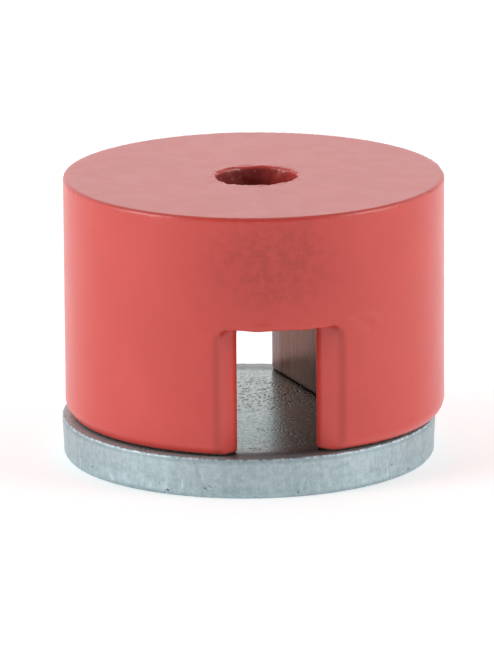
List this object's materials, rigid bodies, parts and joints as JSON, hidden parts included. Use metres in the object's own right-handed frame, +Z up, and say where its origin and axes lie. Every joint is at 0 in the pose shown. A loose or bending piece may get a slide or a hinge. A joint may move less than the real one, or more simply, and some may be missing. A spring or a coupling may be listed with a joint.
{
  "type": "button magnet with keeper",
  "caption": "Slotted horseshoe button magnet, painted red, with a central screw hole and a loose steel keeper disc, for holding and positioning steel work.",
  "frame": {"origin": "underside of the keeper, on the axis of the magnet's screw hole", "axes": "+Z up through the screw hole towards the painted back, Y along the slot, X across it"},
  "size_m": [0.0257, 0.0254, 0.0189],
  "materials": {
    "red_enamel": "semi-gloss enamel over rough casting",
    "zinc_plate": "bright zinc plate over stamped steel"
  },
  "bodies": {
    "keeper": {"keeper_disc": "zinc_plate"},
    "magnet": {"magnet_body": "red_enamel"}
  },
  "joints": [
    {"name": "magnet_lift", "type": "slide", "parent": "keeper", "child": "magnet", "axis": [0, 0, 1], "range_m": [0, 0.03]}
  ]
}
